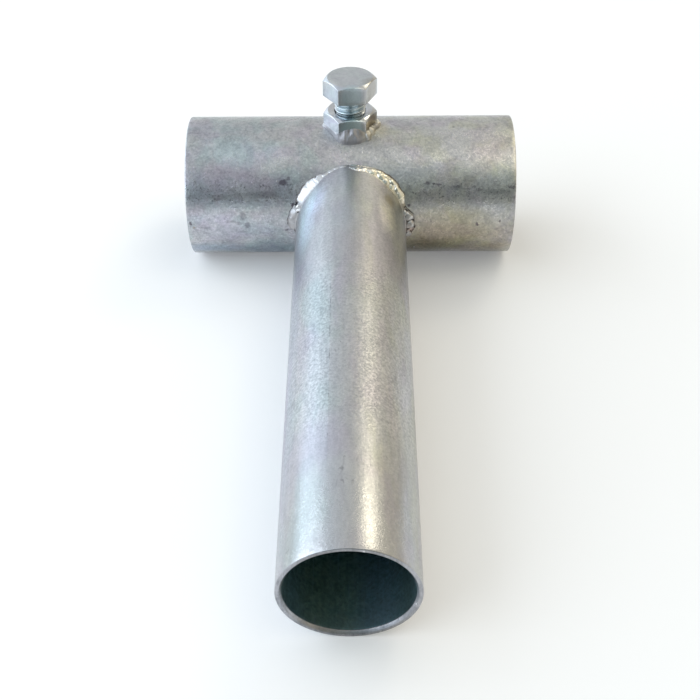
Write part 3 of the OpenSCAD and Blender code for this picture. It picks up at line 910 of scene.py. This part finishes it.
def weld_metal(name, shift):
    """Solidified weld: bright where it washed out, straw-coloured drops partly tinted like the warm lamp, dull scaled
    lumps, and painted shade in the craters, the troughs and along the outer toe.
    """
    m = Look(name)
    plain = m.coords(shift=shift)
    big = m.noise(plain, 300, 4, 0.6, 0.4)
    fine = m.noise(plain, 1900, 3, 0.6)
    tone = weighted(m, [(big, 0.8), (fine, 0.35)])
    bright = m.mix(m.span(tone, -0.3, 0.3), (0.80, 0.81, 0.815), (0.97, 0.975, 0.97))
    matt = m.mix(m.span(tone, -0.3, 0.3), (0.24, 0.24, 0.255), (0.46, 0.455, 0.48))
    dull = m.math("ADD", m.value("dull"), m.math("MULTIPLY", tone, 0.5), True)
    base = m.mix(dull, bright, matt)
    # straw tint: partly heat tint, partly a painted tint of the warm lamp on the right
    base = m.mix(m.math("MULTIPLY", m.value("straw"), m.span(big, 0.30, 0.60, 0.55, 1.0)), base, (0.98, 0.93, 0.76), "MULTIPLY")
    rust = m.math("MULTIPLY", m.value("scale"), m.span(m.noise(m.coords(shift=(0.7, 2.2, 0.4)), 380, 4, 0.6, 0.5), 0.40, 0.62))
    base = m.mix(rust, base, (0.40, 0.29, 0.24))
    # painted shade: dark troughs between drops and in hollows, a dark outline along the outer toe (partly heat tint),
    # and dark craters
    dark = m.mix(m.value("straw"), (0.055, 0.053, 0.056), (0.085, 0.070, 0.036))
    base = m.mix(m.value("trough"), base, dark)
    base = m.mix(m.math("MULTIPLY", m.value("outline"), 0.92, True), base, (0.060, 0.048, 0.047))
    crater_shade = m.math("MULTIPLY", m.value("crater"), m.span(fine, 0.25, 0.6, 0.8, 1.25))
    base = m.mix(m.span(crater_shade, 0.30, 0.80), base, (0.03, 0.03, 0.036))
    gloss = m.math("ADD", m.span(tone, -0.3, 0.3, 0.27, 0.14), m.math("MULTIPLY", dull, 0.28))
    gloss = m.math("ADD", gloss, m.math("MULTIPLY", m.math("MAXIMUM", m.value("outline"), m.value("trough")), 0.22))
    m.set(Metallic=1.0, Base_Color=base, Roughness=gloss)
    m.set(Normal=m.bump(weighted(m, [(big, 0.7), (fine, 0.25)]), 0.00012, 0.6))
    return m.mat


def bright_zinc(name, shift, rough, washes=()):
    m = Look(name)
    plain = m.coords(shift=shift)
    cloud = m.noise(plain, 150, 4, 0.6, 0.4)
    fine = m.noise(plain, 2600, 3, 0.6)
    scuff = m.noise(m.coords(scale=(1, 1, 0.12), shift=shift), 900, 4, 0.6)
    tone = weighted(m, [(cloud, 0.6), (fine, 0.3), (scuff, 0.35)])
    base = m.mix(m.span(tone, -0.3, 0.3), (0.45, 0.475, 0.495), (0.63, 0.655, 0.675))
    lilac = m.span(m.noise(plain, 210, 3, 0.5, 0.4), 0.42, 0.62, 0.0, 0.8)
    base = m.mix(lilac, base, (0.97, 0.94, 0.97), "MULTIPLY")
    # painted light on the hex faces
    for centre_mm, radii_mm, strength, colour in washes:
        base = m.mix(m.spot(centre_mm, radii_mm, strength, 0.55, 1.1, 1.0), base, colour, "MULTIPLY")
    # painted shade: dark teal where "root" is high, down the nut's bore and in the bolt's thread roots
    base = m.mix(m.span(m.value("root"), 0.35, 1.0, 0.0, 0.52), base, (0.15, 0.22, 0.24))
    m.set(Metallic=1.0, Base_Color=base, Roughness=m.span(tone, -0.3, 0.3, rough[1], rough[0]))
    m.set(Normal=m.bump(weighted(m, [(fine, 0.5), (scuff, 0.5)]), 0.00006, 0.5))
    return m.mat


def floor_paint():
    m = Look("floor_paint")
    mottle = m.noise(m.coords(), 3.0, 3, 0.5)
    base = m.mix(mottle, (0.86, 0.86, 0.865), (0.88, 0.88, 0.885))
    m.set(Base_Color=base, Roughness=0.9)
    m.shader.inputs["Specular IOR Level"].default_value = 0.1
    m.shader.inputs["Emission Color"].default_value = (1.0, 1.0, 1.0, 1.0)
    m.shader.inputs["Emission Strength"].default_value = 0.12
    return m.mat


# ------------------------------------------------------------------ pieces
DARK, GREY, RUST = (0.10, 0.085, 0.11), (0.16, 0.165, 0.17), (0.26, 0.19, 0.13)
# dark specks and stains on the sleeve; the spots right beside the weld's toes are painted shade of the bead's edge
sleeve_marks = [
    ((-27.0, -22.9, 17.2), (2.3, 1.5, 1.5), 0.80, DARK),
    ((-24.9, -21.9, 18.4), (1.2, 0.8, 0.8), 0.60, DARK),
    ((-43.7, -28.2, 4.4), (1.6, 1.5, 2.6), 0.40, DARK),
    ((-48.5, -28.5, 2.0), (2.6, 1.5, 0.8), 0.36, GREY),
    ((-42.3, -28.5, 0.2), (1.3, 1.3, 2.0), 0.50, DARK),
    ((-45.6, -28.5, 1.2), (1.6, 1.4, 1.0), 0.40, DARK),
    ((-44.0, -28.4, -3.2), (2.4, 1.4, 0.7), 0.32, GREY),
    ((-60.0, -28.5, -1.0), (5.0, 1.0, 0.3), 0.35, GREY),
    ((-23.2, -27.1, 9.2), (1.2, 1.0, 1.0), 0.90, DARK),
    ((-26.2, -28.5, -2.2), (1.1, 0.9, 0.8), 0.75, DARK),
    ((-23.8, -28.5, -2.0), (1.2, 0.9, 0.7), 0.75, DARK),
    ((23.6, -27.1, 8.8), (0.9, 0.9, 1.0), 0.80, DARK),
    ((33.3, -23.2, 16.7), (0.7, 0.6, 0.6), 0.80, DARK),
    ((43.3, -24.0, 15.5), (1.0, 0.6, 0.6), 0.60, DARK),
    ((46.0, -22.4, 17.7), (0.8, 0.7, 0.7), 0.55, GREY),
    ((52.0, -24.7, 14.4), (1.6, 0.7, 0.6), 0.50, DARK),
    ((64.9, -24.1, 15.3), (1.8, 0.8, 0.7), 0.50, DARK),
    ((-65.2, -28.5, 1.2), (0.9, 0.9, 1.3), 0.80, DARK),
    ((-63.9, -28.5, -1.0), (0.7, 0.7, 0.8), 0.55, RUST),
    ((51.4, -28.5, 0.1), (0.7, 0.7, 1.1), 0.85, DARK),
    ((60.7, -28.5, 1.6), (0.6, 0.6, 0.9), 0.70, DARK),
    ((32.6, -28.5, 1.9), (0.5, 0.5, 0.9), 0.55, GREY),
    ((42.3, -0.6, 28.5), (0.7, 0.7, 0.7), 0.55, GREY),
    ((31.0, -23.1, 16.8), (1.6, 1.0, 0.8), 0.70, DARK),
    ((35.6, -23.5, 16.2), (1.8, 0.9, 0.8), 0.62, DARK),
    ((42.0, -24.2, 15.2), (3.0, 1.2, 1.2), 0.42, GREY),
    ((58.5, -25.0, 13.9), (6.5, 1.2, 1.4), 0.42, GREY),
    ((-36.0, -25.4, 13.0), (9.0, 1.4, 1.8), 0.34, DARK),
    ((-52.0, -25.8, 12.2), (7.0, 1.4, 1.6), 0.30, GREY),
]
spigot_marks = [
    ((-2.0, -178.6, 22.1), (0.7, 1.0, 0.7), 0.45, GREY),
]
# tints and painted light on the sleeve: painted brighter and bluer on the left, warmer on the right, painted highlights
# on the upper right and along the right end's edge, painted shade low down and beside the spigot, and a few lilac
# patches
sleeve_tints_and_painted_light = [
    ((-50.0, -21.0, 18.5), (22.0, 8.0, 8.0), 0.9, (0.97, 0.89, 0.95)),
    ((-32.0, -22.5, 16.5), (12.0, 6.0, 6.0), 0.9, (0.93, 0.84, 0.90)),
    ((-50.0, -2.0, 28.0), (22.0, 9.0, 6.0), 0.8, (0.89, 0.94, 0.97)),
    ((-44.0, -13.0, 25.2), (25.0, 9.0, 8.0), 0.9, (1.03, 1.10, 1.16)),
    ((-45.0, -27.0, 9.2), (24.0, 4.5, 3.2), 0.8, (0.97, 1.06, 1.11)),
    ((-58.0, -28.0, 5.0), (14.0, 6.0, 5.0), 0.9, (1.10, 1.10, 1.17)),
    ((-50.0, -27.0, -2.0), (24.0, 12.0, 10.0), 0.9, (0.99, 0.985, 1.075)),
    ((-32.0, -22.0, -17.0), (20.0, 13.0, 12.0), 0.95, (0.54, 0.66, 0.73)),
    ((-57.0, -24.5, -14.5), (20.0, 8.0, 6.0), 0.9, (0.74, 0.87, 0.97)),
    ((13.0, -1.5, 28.4), (4.0, 7.0, 3.0), 0.8, (1.02, 0.93, 0.83)),
    ((22.0, -6.0, 28.0), (14.0, 9.0, 6.0), 0.8, (1.02, 1.02, 0.93)),
    ((60.0, 4.0, 28.0), (14.0, 9.0, 6.0), 0.8, (1.09, 1.09, 1.04)),
    ((58.0, -13.0, 25.5), (15.0, 7.0, 5.0), 0.9, (1.06, 1.02, 0.95)),
    ((57.0, -18.5, 21.6), (14.0, 6.0, 5.0), 0.9, (1.26, 1.23, 1.09)),
    ((40.0, -21.5, 18.5), (17.0, 5.0, 4.0), 0.8, (1.0, 0.97, 0.88)),
    ((40.0, -28.0, 6.0), (20.0, 5.0, 5.0), 0.8, (0.95, 0.92, 0.82)),
    ((42.0, -27.5, -4.0), (32.0, 14.0, 13.0), 1.0, (0.93, 0.85, 0.66)),
    ((28.0, -24.0, -14.5), (18.0, 14.0, 12.0), 1.0, (0.50, 0.46, 0.36)),
    ((40.0, -25.4, -13.0), (18.0, 7.0, 8.0), 0.95, (0.68, 0.67, 0.55)),
    ((60.0, -25.4, -13.0), (11.0, 6.0, 6.0), 0.85, (0.98, 0.93, 0.79)),
    ((60.0, -7.0, 27.6), (14.0, 7.0, 5.0), 0.8, (1.10, 1.10, 1.03)),
    ((54.0, -22.0, -17.0), (18.0, 10.0, 9.0), 0.95, (0.82, 0.75, 0.62)),
    ((66.4, -16.0, 23.0), (1.6, 14.0, 12.0), 0.9, (1.45, 1.40, 1.26)),
]
# painted light on the spigot: painted bluish highlights on the left near the weld and along the left side, painted
# highlights on the top and upper right near the weld, a painted brown shade beside the weld on the right, and painted
# shade further along the right side
spigot_painted_light = [
    ((14.5, -45.0, 16.8), (5.0, 15.0, 6.0), 1.0, (1.62, 1.59, 1.42)),
    ((15.6, -33.5, 15.8), (3.5, 4.5, 4.0), 0.9, (0.82, 0.75, 0.60)),
    ((0.0, -52.0, 22.2), (7.0, 13.0, 5.0), 0.8, (1.08, 1.11, 1.14)),
    ((-17.6, -45.0, 13.5), (6.0, 20.0, 9.0), 1.0, (1.50, 1.74, 1.74)),
    ((-13.4, -35.0, 17.7), (6.5, 11.0, 5.0), 1.0, (1.42, 1.52, 1.62)),
    ((-20.5, -120.0, 8.5), (5.0, 135.0, 9.0), 0.9, (1.03, 1.07, 1.17)),
    ((18.3, -92.0, 12.6), (4.0, 50.0, 7.0), 0.8, (0.94, 0.93, 0.86)),
    ((17.0, -182.0, 14.0), (4.5, 34.0, 6.0), 0.8, (0.86, 0.87, 0.86)),
]
# painted light inside the spigot: brighter near the mouth at the bottom, warmer on the left and bluer on the right, and
# much brighter along the upper inside wall
mouth_painted_light = [
    ((-10.0, -195.0, -17.0), (13.0, 30.0, 9.0), 0.9, (1.25, 1.18, 0.90)),
    ((11.0, -195.0, -17.0), (12.0, 30.0, 10.0), 0.9, (1.30, 1.30, 1.50)),
    ((0.0, -192.0, -19.5), (6.0, 30.0, 6.0), 0.9, (1.36, 1.28, 1.12)),
    ((0.0, -150.0, 19.5), (18.0, 90.0, 8.0), 0.9, (1.95, 1.80, 1.85)),
]
# painted light on the bolt: left face lighter, front face teal, right face darker and warmer, top a little darker,
# thread lighter and teal
bolt_painted_light = [
    ((-7.8, -2.6, 46.2), (5.4, 5.4, 6.0), 1.0, (1.27, 1.26, 1.24)),
    ((0.8, -6.7, 46.5), (5.2, 4.6, 6.0), 1.0, (0.93, 1.06, 1.09)),
    ((8.6, -1.3, 46.2), (5.4, 5.4, 6.0), 1.0, (0.77, 0.73, 0.67)),
    ((0.0, 3.0, 49.8), (12.0, 12.0, 1.3), 1.0, (0.93, 0.95, 0.96)),
    ((0.0, -3.5, 38.6), (7.6, 7.6, 4.2), 1.0, (1.14, 1.26, 1.28)),
]
# painted light on the nut: left face lighter, front face lighter and teal, right face painted dark brown shade
nut_painted_light = [
    ((-7.8, -3.5, 32.3), (5.4, 5.4, 6.0), 1.0, (1.10, 1.10, 1.10)),
    ((0.8, -7.5, 32.5), (5.2, 4.6, 6.0), 1.0, (1.15, 1.34, 1.36)),
    ((8.6, -2.1, 31.6), (5.0, 5.4, 4.6), 1.0, (0.52, 0.45, 0.34)),
]
sleeve_zinc = galvanised("sleeve_zinc", 0, (0.13, 0.07, 0.31), 0.10, sleeve_marks, sleeve_tints_and_painted_light, (0.24, 0.38),
                         band=(8.5, 11.0, 15.5, 20.5), relief=0.00011)
sleeve_inside = bore_skin("sleeve_inside", 0, (0.43, 0.27, 0.11), (0.25, 0.265, 0.275), (0.47, 0.485, 0.495), (0.60, 0.61, 0.62))
spigot_zinc = galvanised("spigot_zinc", 1, (0.61, 0.17, 0.23), 0.20, spigot_marks, spigot_painted_light, (0.22, 0.34),
                         polish=(-192.0, -158.0, 0.09), seam=True, stretch=0.35, hue=0.9,
                         weights=(0.22, 0.36, 0.05, 0.78, 0.32))
# the spigot's bore is coloured teal, a painted reflection of the dark teal room in front
spigot_inside = bore_skin("spigot_inside", 1, (0.21, 0.57, 0.71), (0.15, 0.275, 0.295), (0.50, 0.68, 0.71), (0.56, 0.68, 0.74),
                          mouth_painted_light)
spigot_rim = cut_edge("spigot_rim", (0.31, 0.12, 0.44))
bead_metal = weld_metal("bead_metal", (0.3, 0.9, 0.1))
nut_bead_metal = weld_metal("nut_bead_metal", (1.3, 0.4, 0.6))
nut_zinc = bright_zinc("nut_zinc", (0.5, 0.1, 0.9), (0.11, 0.19), nut_painted_light)
bolt_zinc = bright_zinc("bolt_zinc", (0.8, 0.6, 0.2), (0.16, 0.28), bolt_painted_light)

for make, node, body, slot, mats in [
    (make_sleeve, "sleeve_tube", "fitting", "galvanised", [sleeve_zinc, sleeve_inside]),
    (make_spigot, "spigot_tube", "fitting", "galvanised", [spigot_zinc, spigot_inside, spigot_rim]),
    (make_spigot_weld, "spigot_weld", "fitting", "weld", [bead_metal]),
    (make_nut, "clamp_nut", "fitting", "bright_zinc", [nut_zinc]),
    (make_nut_weld, "nut_weld", "fitting", "weld", [nut_bead_metal]),
    (make_bolt, "clamp_bolt", "bolt", "bright_zinc", [bolt_zinc]),
]:
    piece = make()
    for mat in mats:
        piece.data.materials.append(mat)
    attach(piece, body)
    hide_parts(node)

# ------------------------------------------------------------------- floor
tilt = Vector((0.0, 0.03045, 0.99954)).normalized()
mesh = bpy.data.meshes.new("floor")
side = Vector((1, 0, 0))
ahead = tilt.cross(side)
spot = tilt * -0.02860
mesh.from_pydata(
    [spot + side * x * 3.0 + ahead * y * 3.0 for x, y in ((-1, -1), (1, -1), (1, 1), (-1, 1))],
    [], [(0, 1, 2, 3)],
)
floor = bpy.data.objects.new("floor", mesh)
bpy.context.scene.collection.objects.link(floor)
mesh.materials.append(floor_paint())

# ------------------------------------------------------------------ camera
pitch, yaw, roll = math.radians(43.198), math.radians(-0.619), math.radians(-0.654)
ahead = Vector((math.sin(yaw) * math.cos(pitch), math.cos(yaw) * math.cos(pitch), -math.sin(pitch)))
right = Vector((math.cos(yaw), -math.sin(yaw), 0.0))
above = right.cross(ahead)
right, above = (
    math.cos(roll) * right + math.sin(roll) * above,
    -math.sin(roll) * right + math.cos(roll) * above,
)
cam_data = bpy.data.cameras.new("camera")
cam_data.sensor_width, cam_data.sensor_fit, cam_data.lens = 36.0, "HORIZONTAL", 60.866
cam_data.clip_start, cam_data.clip_end = 0.01, 20.0
camera = bpy.data.objects.new("camera", cam_data)
m = Matrix((right, above, -ahead)).transposed().to_4x4()
m.translation = Vector((0.003329, -0.415289, 0.293311))
camera.matrix_world = m
bpy.context.scene.collection.objects.link(camera)
bpy.context.scene.camera = camera

# ------------------------------------------------------------------- light
centre = Vector((0.0, -0.08, 0.0))


def panel(name, at, width, height, power, colour):
    data = bpy.data.lights.new(name, "AREA")
    data.shape, data.size, data.size_y = "RECTANGLE", width, height
    data.energy, data.color = power, colour
    obj = bpy.data.objects.new(name, data)
    obj.location = at
    obj.rotation_mode = "QUATERNION"
    obj.rotation_quaternion = (centre - Vector(at)).to_track_quat("-Z", "Y")
    obj.visible_camera = False
    bpy.context.scene.collection.objects.link(obj)
    return obj


panel("window_left", (-1.00, -0.20, 0.58), 1.9, 1.0, 9.6, (0.86, 0.945, 1.0))
panel("glow_left", (-0.85, 0.76, 0.30), 1.3, 0.52, 1.40, (0.83, 0.93, 1.0))
panel("lamp_right", (0.484, 0.52, 0.746), 0.30, 0.30, 0.96, (1.0, 0.90, 0.69))
panel("ceiling_right", (0.42, -0.12, 1.05), 0.45, 0.45, 0.75, (1.0, 0.94, 0.82))


def room_light():
    """A plain soft room: bright above and behind, dimmer and darker low in front."""
    world = bpy.data.worlds.new("room")
    bpy.context.scene.world = world
    world.use_nodes = True
    nodes, links = world.node_tree.nodes, world.node_tree.links
    nodes.clear()
    out = nodes.new("ShaderNodeOutputWorld")
    bg = nodes.new("ShaderNodeBackground")
    links.new(bg.outputs[0], out.inputs[0])
    tc = nodes.new("ShaderNodeTexCoord")
    sep = nodes.new("ShaderNodeSeparateXYZ")
    links.new(tc.outputs["Generated"], sep.inputs[0])

    def span(source, lo, hi, to_lo, to_hi, soft=True):
        n = nodes.new("ShaderNodeMapRange")
        n.interpolation_type = "SMOOTHSTEP" if soft else "LINEAR"
        links.new(source, n.inputs[0])
        for i, v in enumerate((lo, hi, to_lo, to_hi)):
            if isinstance(v, bpy.types.NodeSocket):
                links.new(v, n.inputs[i + 1])
            else:
                n.inputs[i + 1].default_value = v
        return n.outputs[0]

    def calc(op, a, b=0.0):
        n = nodes.new("ShaderNodeMath")
        n.operation = op
        for i, v in enumerate((a, b)):
            if isinstance(v, bpy.types.NodeSocket):
                links.new(v, n.inputs[i])
            else:
                n.inputs[i].default_value = v
        return n.outputs[0]

    x, y, z = sep.outputs
    open_room = span(x, -0.7, 0.6, 0.92, 0.70)
    up = calc("MAXIMUM", z, 0.0)
    shade = calc("ADD", calc("MULTIPLY", calc("MULTIPLY", up, up), 0.72), 0.16)
    ahead = calc("MULTIPLY", span(y, -0.70, -0.25, 1.0, 0.0), span(calc("ABSOLUTE", x), 0.28, 0.62, 1.0, 0.0))
    level = span(ahead, 0.0, 1.0, open_room, shade, False)
    tint = nodes.new("ShaderNodeMix")
    tint.data_type = "RGBA"
    tint.inputs[6].default_value = (0.84, 0.95, 1.10, 1.0)
    tint.inputs[7].default_value = (1.08, 1.0, 0.82, 1.0)
    links.new(span(x, -0.7, 0.7, 0.0, 1.0, False), tint.inputs[0])
    cool = nodes.new("ShaderNodeMix")
    cool.data_type, cool.blend_type = "RGBA", "MULTIPLY"
    links.new(ahead, cool.inputs[0])
    links.new(tint.outputs[2], cool.inputs[6])
    cool.inputs[7].default_value = (0.90, 1.02, 1.04, 1.0)
    links.new(cool.outputs[2], bg.inputs["Color"])
    links.new(level, bg.inputs["Strength"])


room_light()

view = bpy.context.scene.view_settings
view.view_transform = "Standard"
view.look = "None"
view.exposure, view.gamma = 0.0, 1.0
